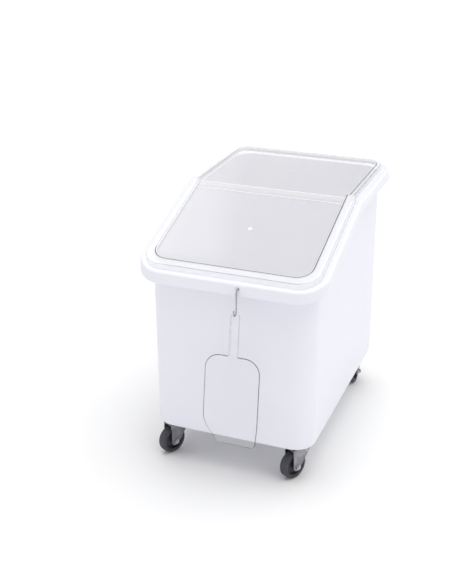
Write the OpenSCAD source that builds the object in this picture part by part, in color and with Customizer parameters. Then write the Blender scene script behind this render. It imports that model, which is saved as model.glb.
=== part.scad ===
// Rolling slant-top ingredient bin. A moulded tub stands on four casters under two clear lids,
// and a clear scoop hangs from a wire hook on the front lip.
// Millimetres. X to the right, Y to the rear, Z up.
// The origin is on the floor under the middle of the rim.

/* [Rim and tub] */
// Width over the rim
rim_w = 508; // [480:1:540]
// Length over the rim
rim_l = 749; // [710:1:790]
// Corner radius of the rim, seen from above
rim_r = 75; // [68:1:84]
// Height of the flat lid seat above the floor
seat_z = 689.7; // [660:0.1:720]
// Drop of the rim's turned-down lip below the seat
lip_h = 28; // [26:1:34]
// Distance from the tub's wall to the rim's edge
flange_w = 28; // [26:1:31]
// Wall thickness of the tub, its flange and its lip
tub_wall = 4.5; // [3.5:0.5:5]
// Thickness of the tub's floor
floor_t = 5; // [4:0.5:8]
// Height of the bead around the lid seat
bead_h = 3; // [1.5:0.5:4]
// Width of the bead around the lid seat
bead_w = 10; // [6:1:11]
// Set-in of the bead from the rim's edge
bead_in = 2; // [1:0.5:3]
// Width across the tub's base
base_w = 442; // [430:1:448]
// Set-back of the base's front edge from the rim's front edge
base_front = 44; // [38:1:50]
// Set-in of the base's rear edge from the rim's rear edge
base_rear = 24; // [20:1:30]
// Corner radius of the base
base_r = 58; // [50:1:64]
// Rounding of the base's bottom edge
base_edge = 10; // [6:1:14]
// Height of the screw bosses above the tub's floor
boss_h = 11; // [9:1:16]
// Radius of the screw bosses
boss_r = 9; // [7:0.5:10]

/* [Lids] */
// Slope of the front lid
slope = 18.5; // [17:0.5:20]
// Distance of the ridge in front of the rim's middle
ridge_fwd = 8; // [0:1:16]
// Thickness of the lids
lid_t = 3; // [2.5:0.1:3.5]
// Height of the rear lid over its skirt
rear_h = 17; // [15:0.5:20]
// Depth of the lids' recessed panels
panel_drop = 8; // [6:0.5:9]
// Width over the rear lid
rear_w = 456; // [452:1:459]
// Set-in of the rear lid's rear edge from the rim's rear edge
rear_in = 19.5; // [17:0.5:24]
// Corner radius of the rear lid
rear_r = 45; // [38:1:54]
// Border behind the rear lid's panel
rear_border = 24; // [20:1:30]
// Corner radius of the rear lid's panel
rear_panel_r = 28; // [20:1:34]
// Border beside and ahead of the front lid's panel
front_border = 28; // [24:1:32]
// Corner radius of the front lid
front_r = 57; // [50:1:62]
// Corner radius of the front lid's panel
front_panel_r = 38; // [30:1:44]
// Set-back of the front lid's front edge from the rim's front edge
front_in = 8.5; // [7:0.5:12]
// Height of the ribs across the front lid's upper end
rib_h = 1.2; // [0.8:0.1:2]
// Width of the ribs
rib_w = 3; // [2:0.5:4]
// Set-in of the upper rib from the front lid's upper end
rib_in = 3; // [2:0.5:6]
// Distance between the ribs
rib_pitch = 30; // [20:1:40]
// Lap of the front lid past the ridge
lap = 4.5; // [3.5:0.1:4.6]
// Radius of the ridge rod
rod_r = 3; // [2.5:0.1:3.5]
// Radius of the ridge rod's end journals
journal_r = 2; // [1.5:0.1:2.3]
// Radius of the rear lid's ears around the journals
ear_r = 5; // [4:0.1:5.5]

/* [Hook and scoop] */
// Distance of the hook to the right of the bin's middle
hook_x = 38; // [20:1:60]
// Radius of the hook's wire
wire_r = 2; // [1.7:0.1:2.2]
// Height over the hook
hook_h = 67; // [58:1:76]
// Bend radius of the hook's upper end
top_bend = 10; // [9:0.5:11]
// Sweep of the hook's upper end through the lip
top_sweep = 160; // [150:5:165]
// Bend radius of the hook's lower end
low_bend = 9; // [8:0.5:10]
// Rise of the hook's tip above its lower bend
tip_h = 6; // [3:0.5:9]
// Radius of the hook's hole in the lip
hole_r = 4; // [3.5:0.1:4.2]
// Widening of the lip hole's eased mouths
hole_ease = 2.2; // [1.8:0.1:2.5]
// Depth of the straight land in both eased holes
hole_land = 0.8; // [0.5:0.1:1]
// Swell of the wire where its bends meet its straights
weld_swell = 0.1; // [0.05:0.01:0.15]
// Lean of the hanging scoop
lean = 7; // [5:0.5:8]
// Wall thickness of the scoop
scoop_t = 2.5; // [2:0.1:3]
// Width of the scoop's handle
handle_w = 25; // [22:0.5:28]
// Length of the scoop's handle
handle_l = 112; // [100:1:125]
// Depth of the handle's channel
handle_d = 8; // [6:0.5:10]
// Radius of the handle's hang hole
hang_r = 5; // [4.5:0.1:5.5]
// Widening of the hang hole's eased mouths
hang_ease = 1.6; // [1.3:0.1:1.8]
// Distance of the hang hole from the handle's end
hang_in = 9; // [8:0.5:11]
// Width over the scoop's open side
bowl_w = 148; // [135:1:160]
// Width of the scoop's floor
bowl_floor_w = 108; // [95:1:120]
// Length of the scoop's bowl
bowl_l = 258; // [235:1:280]
// Depth of the scoop's bowl
bowl_d = 50; // [42:1:54]
// Length of the bowl's side edges before the mouth slopes away
bowl_side_l = 163; // [140:1:185]
// Set-back of the bowl's floor behind its open edge at the handle end
bowl_back = 16; // [10:1:24]
// Length of the floor's lip past the side walls
bowl_lip = 13; // [8:1:20]
// Curve of the sloping mouth, where 1 is straight
mouth_share = 0.6; // [0.5:0.05:1]
// Corner radius of the bowl
bowl_r = 40; // [30:1:46]

/* [Casters] */
// Height of the casters from the floor to the tub's base
caster_h = 105; // [102:1:112]
// Set-in of the casters from the base's sides
caster_side_in = 46; // [43:1:56]
// Set-back of the front swivel pins from the base's front edge
caster_front_in = 71.5; // [66:0.5:85]
// Set-in of the rear axles from the base's rear edge
caster_rear_in = 66.5; // [63:0.5:80]
// Radius of the wheels
wheel_r = 38; // [36:0.5:39]
// Width of the tyres
tyre_w = 25; // [22:0.5:26]
// Thickness of the tyres
tyre_t = 8; // [6:0.5:10]
// Rounding of the tyres' shoulders
shoulder = 6; // [4:0.5:7]
// Trail of the swivel casters
trail = 28; // [24:1:30]
// Turn of the front casters at rest
yaw = 28; // [0:1:45]
// Clear width between a caster's legs
leg_gap = 30; // [29:0.5:32]
// Thickness of the casters' legs and crowns
leg_t = 3; // [2.5:0.1:3.5]
// Radius of the legs' lower ends
leg_nose = 13; // [11:0.5:14]
// Reach of the swivel legs ahead of the swivel pin
leg_lead = 26; // [23:0.5:27]
// Half length of the rigid legs at the plate
rigid_half = 28; // [24:0.5:30]
// Thickness of the casters' plates
plate_t = 3; // [2.5:0.1:3.5]
// Width of the casters' plates
plate_w = 70; // [68:0.5:74]
// Length of the casters' plates
plate_l = 84; // [80:0.5:90]
// Corner radius of the casters' plates
plate_r = 12; // [9:0.5:13]
// Spacing of the plate screws across the bin
screw_dx = 51; // [50:0.5:53]
// Spacing of the plate screws along the bin
screw_dy = 64; // [60:0.5:66]
// Radius of the plate screws
screw_r = 3; // [2.5:0.1:3.2]
// Radius over the corners of the screws' heads
screw_head_r = 5.8; // [5.3:0.1:6]
// Height of the screws' heads
screw_head_h = 4; // [3:0.1:4.5]
// Reach of the screws into the tub
screw_in = 10; // [8:0.5:11]
// Radius of the thread inserts
insert_r = 4.5; // [4:0.1:5]
// Length of the thread inserts
insert_l = 12; // [11:0.5:13]
// Height of each swivel race
race_h = 6.5; // [6:0.1:7]
// Inner radius of the swivel races
race_in = 15; // [13:0.5:15.5]
// Outer radius of the swivel races
race_out = 26; // [25.5:0.5:28]
// Radius of the swivel balls
ball_r = 3; // [2.6:0.1:3.1]
// Radius of the ring of balls
ball_ring_r = 20.5; // [20:0.1:21]
// Number of balls in a swivel
ball_count = 14; // [10:1:16]
// Radius of the kingpins
king_r = 5; // [4.5:0.1:5.5]
// Radius of the kingpins' heads
king_head_r = 9; // [8:0.1:10]
// Height of the kingpins' upper heads
king_head_h = 2.6; // [2.2:0.1:3]
// Height of the kingpins' lower heads
king_foot_h = 3.5; // [3:0.1:4]
// Radius of the axle bolts
axle_r = 4; // [3.5:0.1:4.5]
// Radius over the corners of the axle nuts and heads
nut_r = 7.5; // [7:0.1:8]
// Height of the axle nuts
nut_h = 6.5; // [6:0.1:7]
// Height of the axle bolts' heads
axle_head_h = 5.3; // [5:0.1:6]
// Length of the axle bolts past their nuts
axle_end = 2; // [1:0.1:3]
// Outer radius of the axle sleeves
sleeve_r = 6; // [5.6:0.1:6.5]
// Radius of the wheels' hubs
hub_r = 11; // [10:0.1:12]
// Width of the wheels' rims under the tyres
felloe_w = 22; // [20:0.5:23]
// Thickness of the wheels' rims under the tyres
felloe_t = 4; // [3:0.1:5]
// Thickness of the wheels' webs at the hub
web_in = 12; // [10:0.5:14]
// Thickness of the wheels' webs at the rim
web_out = 8; // [6:0.5:9]

/* [Brake] */
// Distance of the brake's pivot ahead of the swivel pin
brake_y = 6; // [5:0.1:7]
// Drop of the brake's pivot below the fork's crown
brake_drop = 12; // [11.5:0.1:12.5]
// Radius of the brake's pivot pin
brake_pin_r = 2.5; // [2:0.1:2.8]
// Radius of the pedal's barrel
barrel_r = 4.5; // [4:0.1:5]
// Thickness of the pedal
pedal_t = 3; // [2.5:0.1:3.2]
// Width of the pedal's stem
pedal_w = 22; // [18:0.5:24]
// Radius of the pedal's tab
tab_r = 13; // [11:0.5:14]
// Reach of the pedal ahead of the swivel pin
pedal_reach = 46; // [43:0.5:54]
// Rise of the pedal where it clears the crown
pedal_mid = 9; // [8:0.1:9.5]
// Rise of the pedal's tab
pedal_rise = 17; // [14:0.1:18]
// Reach of the brake's shoe below its pivot
shoe_low = 16; // [15:0.1:16.3]
// Set-back of the shoe's braking edge from its pivot
shoe_y = 2; // [1.8:0.1:3]
// Thickness of the shoe's lower edge
shoe_t = 4; // [3:0.1:5]

/* [Fits] */
// Gap under a piece that rests on its seat
seat_gap = 0.3; // [0.2:0.05:0.4]
// Gap between the front lid and the pieces that it runs over
slide_gap = 0.3; // [0.25:0.05:0.4]
// Gap between the lids' skirts
skirt_gap = 5; // [3.5:0.1:5.5]
// Gap between the front lid's panel and the rear lid's panel walls
panel_gap = 0.8; // [0.5:0.1:1]
// Gap between the ridge rod and the rear lid's panel
rod_gap = 0.4; // [0.3:0.05:0.6]
// Clearance of a turning shaft in its bore
run_fit = 0.05; // [0.03:0.01:0.08]
// Clearance of a fixed shaft in its hole
hole_fit = 0.1; // [0.05:0.01:0.15]
// Clearance of the balls in their grooves
ball_gap = 0.3; // [0.25:0.05:0.35]
// Gap between the swivel races
race_gap = 0.6; // [0.5:0.05:0.8]
// Gap between the kingpin's foot and the crown
foot_gap = 0.3; // [0.25:0.05:0.4]
// Gap at each end of a turning hub or barrel
end_gap = 0.5; // [0.4:0.05:0.7]
// Gap at each end of an axle sleeve
sleeve_gap = 0.1; // [0.05:0.01:0.15]

/* [Hidden] */

$fn = 64;
shell_facets = 40;
mouth_steps = 12;
over = 1;
thin = 0.02;
hex = 6;
half_turn = 180;
quarter_turn = 90;

white_pe = [0.93, 0.94, 0.95];
clear_pc = [0.80, 0.85, 0.88, 0.45];
zinc = [0.66, 0.67, 0.69];
bright_steel = [0.78, 0.79, 0.80];
brass_yellow = [0.78, 0.62, 0.30];
core_grey = [0.20, 0.21, 0.26];
tyre_grey = [0.27, 0.28, 0.32];

// Ridge, seats and lids
ridge_y = -ridge_fwd;
rod_z = seat_z + seat_gap + rear_h - panel_drop - rod_r;
seat_drop = rod_z - seat_z;
break_y = ridge_y + seat_drop*tan(slope/2);
front_skirt_z = seat_gap - seat_drop;
front_panel_z = rod_r + slide_gap;
front_top_z = front_panel_z + panel_drop + lid_t;
front_h = front_top_z - front_skirt_z;
front_edge_y = -rim_l/2 + front_in;
front_reach = (ridge_y - front_edge_y - front_top_z*sin(slope))/cos(slope);
front_len = front_reach + lap;
front_w = rear_w + 2*(skirt_gap + lid_t);
front_panel_w = front_w - 2*front_border;
rear_panel_w = front_panel_w + 2*(lid_t + panel_gap);
rear_start_y = ridge_y + rod_r + rod_gap;
rear_len = rim_l/2 - rear_in - rear_start_y;

// Tub
base_l = rim_l - base_front - base_rear;
base_y = (base_front - base_rear)/2;
wall_top_w = rim_w - 2*flange_w;
wall_top_l = rim_l - 2*flange_w;

// Hook and scoop
lip_y = -rim_l/2 + tub_wall/2;
lip_seat_z = rod_z + ((lip_y - ridge_y)*sin(slope) - seat_drop)/cos(slope);
hole_z = lip_seat_z - tub_wall - hole_r - seat_gap;
wire_z = hole_z - hole_r + seat_gap + wire_r;
shank_y = lip_y - top_bend;
shank_top_z = wire_z - top_bend;
low_z = wire_z + wire_r - hook_h + wire_r + low_bend;
hang_y = shank_y - low_bend;
hang_z = low_z - low_bend;
swing_z = hang_z + wire_r + seat_gap;
hang_u = hang_in - hang_r;

// Casters
caster_x = base_w/2 - caster_side_in;
front_y = rim_l/2 - base_front - caster_front_in;
rear_y = rim_l/2 - base_rear - caster_rear_in;
plate_z = caster_h - plate_t;
upper_race_z = plate_z - race_h;
lower_race_z = upper_race_z - race_gap;
ball_z = upper_race_z - race_gap/2;
crown_top_z = lower_race_z - race_h;
crown_z = crown_top_z - leg_t;
king_foot_z = crown_z - foot_gap - king_foot_h;
leg_out = leg_gap/2 + leg_t;
core_r = wheel_r - tyre_t;
hub_half = leg_gap/2 - end_gap;
sleeve_l = leg_gap - 2*sleeve_gap;
brake_z = crown_z - brake_drop;
crown_r = race_out;

// Height of the sloping seat at a distance along the bin
function seat_at(y) = rod_z + ((y - ridge_y)*sin(slope) - seat_drop)/cos(slope);

// Point where a line from p meets a circle about c, on the side given by the sign
function touch(p, c, r, side) =
    let (d = p - c)
    let (turn = atan2(d[1], d[0]) + side*acos(r/norm(d)))
    c + r*[cos(turn), sin(turn)];

// Rectangle with round corners, centred
module round_rect(w, l, r) {
    square([w - 2*r, l], center = true);
    square([w, l - 2*r], center = true);
    for (sx = [-1, 1], sy = [-1, 1])
        translate([sx*(w/2 - r), sy*(l/2 - r)])
            circle(r);
}

// Strip that starts square and ends with round corners
module tongue(w, start, end, r) {
    translate([-w/2, start])
        square([w, end - r - start]);
    translate([r - w/2, start])
        square([w - 2*r, end - start]);
    for (sx = [-1, 1])
        translate([sx*(w/2 - r), end - r])
            circle(r);
}

// Side profile swept across the bin: flat Y and Z drawn in X and Y
module across(w) {
    rotate([quarter_turn, 0, quarter_turn])
        linear_extrude(w, center = true)
            children();
}

// Face outline with a depth to the rear: flat X and Z drawn in X and Y
module facing(depth) {
    translate([0, depth, 0])
        rotate([quarter_turn, 0, 0])
            linear_extrude(depth)
                children();
}

// Layer that follows the flat seat and the sloping seat
module seat_layer(top, depth) {
    y0 = -rim_l/2 - over;
    y1 = rim_l/2 + over;
    across(rim_w + 2*over)
        polygon([
            [y0, seat_at(y0) + top],
            [break_y, seat_z + top],
            [y1, seat_z + top],
            [y1, seat_z + top - depth],
            [break_y, seat_z + top - depth],
            [y0, seat_at(y0) + top - depth]
        ]);
}

// Everything under the seat
module under_seat() {
    y0 = -rim_l/2 - over;
    y1 = rim_l/2 + over;
    across(rim_w + 2*over)
        polygon([
            [y0, seat_at(y0)],
            [break_y, seat_z],
            [y1, seat_z],
            [y1, 0],
            [y0, 0]
        ]);
}

// Upright block with the rim's outline
module rim_prism(inset) {
    linear_extrude(seat_z + lip_h)
        round_rect(rim_w - 2*inset, rim_l - 2*inset, rim_r - inset);
}

// Disc with a rounded lower edge
module foot_disc(r, edge) {
    rotate_extrude($fn = shell_facets) {
        square([r - edge, 2*edge]);
        translate([0, edge])
            square([r, edge]);
        translate([r - edge, edge])
            circle(edge, $fn = shell_facets);
    }
}

// Drafted block between the base and the seat, drawn in by the inset
module tub_block(inset, bottom, top, edge) {
    hull() {
        for (sx = [-1, 1], sy = [-1, 1]) {
            translate([
                sx*(base_w/2 - base_r),
                base_y + sy*(base_l/2 - base_r),
                bottom
            ])
                foot_disc(base_r - inset, edge);
            translate([
                sx*(wall_top_w/2 - base_r),
                sy*(wall_top_l/2 - base_r),
                top
            ])
                cylinder(r = base_r - inset, h = thin, $fn = shell_facets);
        }
    }
}

// Turned-down rim, hollow below its flange
module rim_shell() {
    difference() {
        intersection() {
            rim_prism(0);
            seat_layer(0, lip_h);
        }
        intersection() {
            rim_prism(tub_wall);
            seat_layer(-tub_wall, lip_h);
        }
    }
}

// Low bead that keeps the lids on their seat
module rim_bead() {
    intersection() {
        difference() {
            rim_prism(bead_in);
            rim_prism(bead_in + bead_w);
        }
        seat_layer(bead_h, bead_h + tub_wall/2);
    }
}

// Hole along Y through a wall, with both mouths eased
module eased_hole(r, ease, wall) {
    rotate([quarter_turn, 0, 0]) {
        cylinder(r = r, h = wall + 2*over, center = true);
        for (side = [0, half_turn])
            rotate([side, 0, 0])
                translate([0, 0, hole_land/2])
                    cylinder(r1 = r, r2 = r + ease, h = (wall - hole_land)/2 + thin);
    }
}

// Hole in the front lip for the hook
module hook_hole() {
    translate([hook_x, lip_y, hole_z])
        eased_hole(hole_r, hole_ease, tub_wall);
}

// Screw places on one caster plate
module at_screws() {
    for (sx = [-1, 1], sy = [-1, 1])
        translate([sx*screw_dx/2, sy*screw_dy/2, 0])
            children();
}

// Places of the four caster plates
module at_casters() {
    for (side = [-1, 1], along = [-front_y, rear_y])
        translate([side*caster_x, along, 0])
            children();
}

module tub() {
    color(white_pe)
        difference() {
            union() {
                difference() {
                    union() {
                        intersection() {
                            tub_block(0, caster_h, seat_z, base_edge);
                            under_seat();
                        }
                        rim_shell();
                        rim_bead();
                    }
                    tub_block(
                        tub_wall, caster_h + floor_t, seat_z + bead_h + over, base_edge - tub_wall
                    );
                }
                at_casters()
                    at_screws()
                        translate([0, 0, caster_h + floor_t/2])
                            cylinder(r = boss_r, h = floor_t/2 + boss_h);
            }
            hook_hole();
            at_casters()
                at_screws()
                    translate([0, 0, caster_h - over])
                        cylinder(r = insert_r + hole_fit, h = insert_l + over);
        }
}

module thread_inserts() {
    color(brass_yellow)
        at_casters()
            at_screws()
                translate([0, 0, caster_h])
                    difference() {
                        cylinder(r = insert_r, h = insert_l);
                        translate([0, 0, -over])
                            cylinder(r = screw_r + hole_fit, h = insert_l + 2*over);
                    }
}

// Clear tray with a skirt and a recessed panel that runs out at its square end
module lid_tray(w, len, h, r, panel_w, border, panel_r) {
    difference() {
        linear_extrude(h)
            tongue(w, 0, len, r);
        translate([0, 0, -over])
            linear_extrude(h - lid_t + over)
                tongue(w - 2*lid_t, -over, len - lid_t, r - lid_t);
        linear_extrude(h + over)
            tongue(panel_w, -over, len - border, panel_r);
    }
    difference() {
        translate([0, 0, h - panel_drop - lid_t])
            linear_extrude(panel_drop + lid_t)
                tongue(panel_w + 2*lid_t, 0, len - border + lid_t, panel_r + lid_t);
        translate([0, 0, h - panel_drop])
            linear_extrude(panel_drop + over)
                tongue(panel_w, -over, len - border, panel_r);
    }
}

// Ear at the front of the rear lid's panel wall
module rod_ear() {
    rotate([quarter_turn, 0, quarter_turn])
        linear_extrude(lid_t) {
            circle(ear_r);
            translate([0, -ear_r])
                square([rod_r + rod_gap + ear_r, 2*ear_r]);
        }
}

module rear_lid() {
    color(clear_pc)
        difference() {
            union() {
                translate([0, rear_start_y, seat_z + seat_gap])
                    lid_tray(
                        rear_w, rear_len, rear_h, rear_r, rear_panel_w, rear_border, rear_panel_r
                    );
                for (x = [-rear_panel_w/2 - lid_t, rear_panel_w/2])
                    translate([x, ridge_y, rod_z])
                        rod_ear();
            }
            translate([0, ridge_y, rod_z])
                rotate([0, quarter_turn, 0])
                    cylinder(r = journal_r + run_fit, h = rear_w - 4*lid_t, center = true);
        }
}

module ridge_rod() {
    color(clear_pc)
        translate([0, ridge_y, rod_z])
            rotate([0, quarter_turn, 0]) {
                cylinder(r = rod_r, h = rear_panel_w - 2*end_gap, center = true);
                cylinder(r = journal_r, h = rear_panel_w + 2*lid_t, center = true);
            }
}

// Ribs across the upper end of the front lid's panel
module pull_ribs() {
    for (y = [rib_in, rib_in + rib_pitch])
        translate([-(front_panel_w + lid_t)/2, y, front_h - panel_drop - lid_t/2])
            cube([front_panel_w + lid_t, rib_w, lid_t/2 + rib_h]);
}

module front_lid() {
    color(clear_pc)
        translate([0, ridge_y, rod_z])
            rotate([slope, 0, 0])
                translate([0, lap, front_skirt_z])
                    mirror([0, 1, 0]) {
                        lid_tray(
                            front_w, front_len, front_h, front_r,
                            front_panel_w, front_border, front_panel_r
                        );
                        pull_ribs();
                    }
}

// Wire bend in the plane of Y and Z, from the front round over the top
module wire_bend(bend, sweep) {
    rotate([quarter_turn, 0, quarter_turn])
        rotate([0, 0, half_turn - sweep])
            rotate_extrude(angle = sweep)
                translate([bend, 0])
                    circle(wire_r);
}

// Ball that joins two runs of the wire or ends it
module wire_ball() {
    sphere(wire_r + weld_swell);
}

module s_hook() {
    tip_turn = half_turn - top_sweep;
    color(bright_steel)
        translate([hook_x, 0, 0]) {
            translate([0, lip_y, shank_top_z]) {
                wire_bend(top_bend, top_sweep);
                translate([0, top_bend*cos(tip_turn), top_bend*sin(tip_turn)])
                    wire_ball();
            }
            translate([0, shank_y, shank_top_z])
                wire_ball();
            translate([0, shank_y, low_z]) {
                cylinder(r = wire_r, h = shank_top_z - low_z);
                wire_ball();
            }
            translate([0, hang_y, low_z])
                rotate([half_turn, 0, 0])
                    wire_bend(low_bend, half_turn);
            translate([0, hang_y - low_bend, low_z]) {
                wire_ball();
                cylinder(r = wire_r, h = tip_h);
                translate([0, 0, tip_h])
                    wire_ball();
            }
        }
}

// One corner disc of the bowl, facing the open side
module bowl_disc(w, depth, drop, inset) {
    for (sx = [-1, 1])
        translate([sx*(w/2 - bowl_r), depth - inset, -drop])
            rotate([-quarter_turn, 0, 0])
                cylinder(r = bowl_r - inset, h = thin, $fn = shell_facets);
}

// Bowl between its open side and its floor, drawn in by the inset and run out past the mouth
module bowl_block(inset) {
    run_out = handle_l + bowl_l + bowl_r;
    hull() {
        bowl_disc(bowl_w, 0, handle_l + bowl_r, inset);
        bowl_disc(bowl_w, 0, run_out, inset);
        bowl_disc(bowl_floor_w, bowl_d - thin, handle_l + bowl_back + bowl_r, inset);
        bowl_disc(bowl_floor_w, bowl_d - thin, run_out, inset);
    }
}

// Edge of the sloping mouth, from the open side to the floor
function mouth_edge() =
    let (run = bowl_l - bowl_lip - bowl_side_l)
    [for (k = [0:mouth_steps])
        let (t = k/mouth_steps)
        [(bowl_d - scoop_t)*t, -handle_l - bowl_side_l - run*pow(t, mouth_share)]];

// Part of the bowl's length that the sloping mouth keeps
module bowl_mouth() {
    across(bowl_w + 2*over)
        polygon(concat(
            [[0, over - handle_l]],
            mouth_edge(),
            [
                [bowl_d - scoop_t, -handle_l - bowl_l],
                [bowl_d + over, -handle_l - bowl_l],
                [bowl_d + over, over - handle_l]
            ]
        ));
}

// Handle as a channel, open to the rear and at its round end
module scoop_handle() {
    run = handle_l + bowl_back*handle_d/bowl_d + scoop_t/2;
    difference() {
        facing(handle_d)
            translate([0, -run])
                tongue(handle_w, 0, run, handle_w/2 - thin);
        translate([0, scoop_t, 0])
            facing(handle_d)
                translate([scoop_t - handle_w/2, -run - over])
                    square([handle_w - 2*scoop_t, run + 2*over]);
    }
}

module scoop() {
    color(clear_pc)
        translate([hook_x, hang_y, swing_z])
            rotate([-lean, 0, 0])
                translate([0, -scoop_t/2, hang_u])
                    difference() {
                        union() {
                            intersection() {
                                bowl_block(0);
                                bowl_mouth();
                            }
                            scoop_handle();
                        }
                        bowl_block(scoop_t);
                        translate([0, scoop_t/2, -hang_in])
                            eased_hole(hang_r, hang_ease, scoop_t);
                    }
}

// Caster plate outline
module plate_outline() {
    round_rect(plate_w, plate_l, plate_r);
}

// Groove that the balls run in
module ball_groove() {
    translate([0, 0, ball_z])
        rotate_extrude()
            translate([ball_ring_r, 0])
                circle(ball_r + ball_gap);
}

// Ring of the fork's swivel race
module lower_race() {
    translate([0, 0, crown_top_z])
        difference() {
            cylinder(r = race_out, h = race_h);
            translate([0, 0, -over])
                cylinder(r = race_in, h = race_h + 2*over);
        }
}

module swivel_plate() {
    color(zinc)
        difference() {
            union() {
                translate([0, 0, plate_z])
                    linear_extrude(plate_t)
                        plate_outline();
                translate([0, 0, upper_race_z])
                    cylinder(r = race_out, h = race_h);
            }
            ball_groove();
            translate([0, 0, upper_race_z - over])
                cylinder(r = king_r + hole_fit, h = race_h + plate_t + 2*over);
            translate([0, 0, caster_h - king_head_h])
                cylinder(r = king_head_r + hole_fit, h = king_head_h + over);
            at_screws()
                translate([0, 0, plate_z - over])
                    cylinder(r = screw_r + hole_fit, h = plate_t + 2*over);
        }
}

module kingpin() {
    color(bright_steel) {
        translate([0, 0, king_foot_z])
            cylinder(r = king_r, h = caster_h - king_foot_z);
        translate([0, 0, caster_h - king_head_h])
            cylinder(r = king_head_r, h = king_head_h);
        translate([0, 0, king_foot_z])
            cylinder(r = king_head_r, h = king_foot_h);
    }
}

module ball_ring() {
    color(bright_steel)
        for (k = [1:ball_count])
            rotate([0, 0, k*2*half_turn/ball_count])
                translate([ball_ring_r, 0, ball_z])
                    sphere(ball_r);
}

// Side outline of a swivel caster's leg
module swivel_leg_outline() {
    axle = [-trail, wheel_r];
    lead = [leg_lead, crown_top_z];
    translate(axle)
        circle(leg_nose);
    polygon([
        lead,
        [-trail - leg_nose, crown_top_z],
        [-trail - leg_nose, wheel_r],
        axle,
        touch(lead, axle, leg_nose, -1)
    ]);
}

// Pair of legs on both sides of the wheel
module leg_pair() {
    for (sx = [-1, 1])
        translate([sx*(leg_out - leg_t/2), 0, 0])
            across(leg_t)
                children();
}

// Bore along an axle
module axle_bore(y, z, r) {
    translate([0, y, z])
        rotate([0, quarter_turn, 0])
            cylinder(r = r, h = 2*leg_out + 2*over, center = true);
}

// Fork with its crown and the lower race
module fork_solid() {
    difference() {
        union() {
            translate([0, 0, crown_z])
                linear_extrude(leg_t) {
                    circle(crown_r);
                    translate([-leg_out, -trail - leg_nose])
                        square([2*leg_out, trail + leg_nose + leg_lead]);
                }
            lower_race();
            leg_pair()
                swivel_leg_outline();
        }
        ball_groove();
        translate([0, 0, crown_z - over])
            cylinder(r = king_r + run_fit, h = leg_t + 2*over);
        axle_bore(-trail, wheel_r, axle_r + hole_fit);
    }
}

module plain_fork() {
    color(zinc)
        fork_solid();
}

module brake_fork() {
    color(zinc)
        difference() {
            fork_solid();
            axle_bore(brake_y, brake_z, brake_pin_r + hole_fit);
        }
}

// Axle parts lie along X through the given axle point
module axle_bolt() {
    color(bright_steel)
        rotate([0, quarter_turn, 0]) {
            translate([0, 0, -leg_out])
                cylinder(r = axle_r, h = 2*leg_out + nut_h + axle_end);
            translate([0, 0, -leg_out - axle_head_h])
                cylinder(r = nut_r, h = axle_head_h, $fn = hex);
        }
}

module axle_nut() {
    color(bright_steel)
        rotate([0, quarter_turn, 0])
            translate([0, 0, leg_out])
                difference() {
                    cylinder(r = nut_r, h = nut_h, $fn = hex);
                    translate([0, 0, -over])
                        cylinder(r = axle_r + run_fit, h = nut_h + 2*over);
                }
}

module axle_sleeve() {
    color(zinc)
        rotate([0, quarter_turn, 0])
            difference() {
                cylinder(r = sleeve_r, h = sleeve_l, center = true);
                cylinder(r = axle_r + hole_fit, h = sleeve_l + 2*over, center = true);
            }
}

module wheel_core() {
    rim_in = core_r - felloe_t;
    color(core_grey)
        rotate([0, quarter_turn, 0])
            rotate_extrude()
                polygon([
                    [sleeve_r + run_fit, -hub_half],
                    [hub_r, -hub_half],
                    [hub_r, -web_in/2],
                    [rim_in, -web_out/2],
                    [rim_in, -felloe_w/2],
                    [core_r, -felloe_w/2],
                    [core_r, felloe_w/2],
                    [rim_in, felloe_w/2],
                    [rim_in, web_out/2],
                    [hub_r, web_in/2],
                    [hub_r, hub_half],
                    [sleeve_r + run_fit, hub_half]
                ]);
}

module wheel_tyre() {
    color(tyre_grey)
        rotate([0, quarter_turn, 0])
            rotate_extrude() {
                translate([core_r, -tyre_w/2])
                    square([tyre_t - shoulder, tyre_w]);
                translate([core_r, shoulder - tyre_w/2])
                    square([tyre_t, tyre_w - 2*shoulder]);
                for (side = [-1, 1])
                    translate([wheel_r - shoulder, side*(tyre_w/2 - shoulder)])
                        circle(shoulder);
            }
}

module plate_screws() {
    color(bright_steel)
        at_screws() {
            translate([0, 0, plate_z])
                cylinder(r = screw_r, h = plate_t + screw_in);
            translate([0, 0, plate_z - screw_head_h])
                cylinder(r = screw_head_r, h = screw_head_h, $fn = hex);
        }
}

// Side outline of the pedal's stem and tab
module pedal_outline() {
    top = brake_z + barrel_r;
    polygon([
        [brake_y, top],
        [crown_r + pedal_t, brake_z + pedal_mid],
        [pedal_reach, brake_z + pedal_rise],
        [pedal_reach, brake_z + pedal_rise - pedal_t],
        [crown_r + pedal_t, brake_z + pedal_mid - pedal_t],
        [brake_y, top - pedal_t]
    ]);
}

module pedal() {
    color(zinc)
        difference() {
            union() {
                intersection() {
                    across(2*tab_r)
                        pedal_outline();
                    linear_extrude(caster_h) {
                        translate([-pedal_w/2, 0])
                            square([pedal_w, pedal_reach - tab_r]);
                        translate([0, pedal_reach - tab_r])
                            circle(tab_r);
                    }
                }
                translate([0, brake_y, brake_z])
                    rotate([0, quarter_turn, 0])
                        cylinder(r = barrel_r, h = leg_gap - 2*end_gap, center = true);
                translate([0, brake_y, brake_z])
                    across(pedal_w)
                        polygon([
                            [-shoe_t, 0],
                            [barrel_r, 0],
                            [shoe_y + shoe_t, -shoe_low],
                            [shoe_y, -shoe_low]
                        ]);
            }
            axle_bore(brake_y, brake_z, brake_pin_r + run_fit);
        }
}

module pivot_pin() {
    color(bright_steel)
        translate([0, brake_y, brake_z])
            rotate([0, quarter_turn, 0])
                cylinder(r = brake_pin_r, h = 2*leg_out, center = true);
}

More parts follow.
